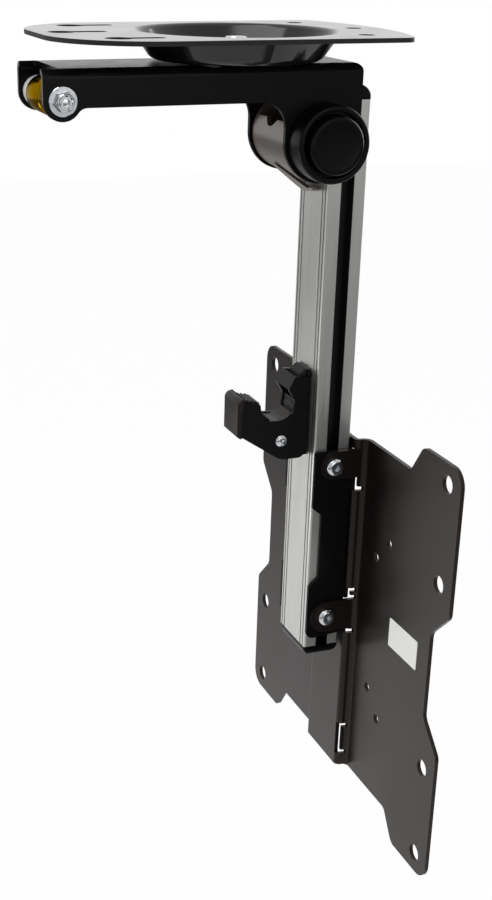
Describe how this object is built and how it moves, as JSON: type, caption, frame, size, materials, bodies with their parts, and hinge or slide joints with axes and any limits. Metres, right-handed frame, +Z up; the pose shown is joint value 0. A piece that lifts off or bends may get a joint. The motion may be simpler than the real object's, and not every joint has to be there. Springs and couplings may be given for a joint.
{
  "type": "tv ceiling mount",
  "caption": "Fold-up ceiling mount for a flat screen: dished plate, swivelling channel arm, friction hinge, slotted mast with catch, sliding carriage and slotted screen plate.",
  "frame": {"origin": "centre of the ceiling plate's top face, on the swivel axis", "axes": "+Z up to the ceiling, +Y from the arm's free end towards the screen plate, +X along the hinge axis towards the hinge's large cover"},
  "size_m": [0.224, 0.1668, 0.3995],
  "materials": {
    "black_powder_coat": "satin",
    "black_plastic": "matte",
    "anodised_aluminium": "satin anodised",
    "zinc_steel": "bright zinc plated",
    "yellow_zinc": "yellow passivated zinc",
    "white_nylon": "satin",
    "grey_rubber": "matte"
  },
  "bodies": {
    "ceiling_mount": {"ceiling_plate": "black_powder_coat", "pivot_bolt": "zinc_steel", "pivot_washer": "zinc_steel", "pivot_nut": "zinc_steel"},
    "swing_arm": {"arm": "black_powder_coat", "friction_disc": "white_nylon", "guide_bolts": "zinc_steel", "guide_washers": "zinc_steel", "guide_nuts": "zinc_steel", "roller_bolt": "zinc_steel", "roller_spacers": "white_nylon", "roller_washer": "zinc_steel", "roller_nut": "zinc_steel", "hinge_bolt": "zinc_steel", "friction_washers": "white_nylon", "thrust_washer": "zinc_steel", "disc_springs": "zinc_steel", "hinge_nut": "zinc_steel", "hinge_cover": "black_plastic", "hinge_button": "black_plastic", "far_cap": "black_plastic"},
    "roller_sleeve": {"roller": "yellow_zinc"},
    "mast_assembly": {"hinge_bracket": "black_powder_coat", "hinge_screws": "zinc_steel", "mast": "anodised_aluminium", "mast_top_cap": "black_plastic", "mast_bottom_cap": "black_plastic", "catch_base": "black_powder_coat", "catch_screws": "zinc_steel", "catch_nose": "grey_rubber", "catch_pivot": "zinc_steel", "catch_nut": "zinc_steel", "catch_spring": "zinc_steel"},
    "catch_lever": {"catch_plates": "black_powder_coat", "catch_grip": "black_plastic"},
    "screen_carrier": {"carriage": "black_powder_coat", "carriage_screws": "zinc_steel", "carriage_nuts": "zinc_steel", "screen_plate": "black_powder_coat"}
  },
  "joints": [
    {"name": "swivel", "type": "hinge", "parent": "ceiling_mount", "child": "swing_arm", "pos_m": [0, 0, 0], "axis": [0, 0, 1], "range_deg": [-45, 45]},
    {"name": "roller_spin", "type": "hinge", "parent": "swing_arm", "child": "roller_sleeve", "pos_m": [0, -0.0869, -0.0262], "axis": [1, 0, 0], "continuous": true},
    {"name": "fold", "type": "hinge", "parent": "swing_arm", "child": "mast_assembly", "pos_m": [0, 0.0347, -0.0472], "axis": [1, 0, 0], "range_deg": [-80, 0]},
    {"name": "catch_press", "type": "hinge", "parent": "mast_assembly", "child": "catch_lever", "pos_m": [0, 0.0267, -0.1947], "axis": [1, 0, 0], "range_deg": [0, 12], "stiffness_Nm_per_rad": 0.25, "springref_deg": -11.46},
    {"name": "height", "type": "slide", "parent": "mast_assembly", "child": "screen_carrier", "axis": [0, 0, 1], "range_m": [-0.004, 0.1]}
  ]
}
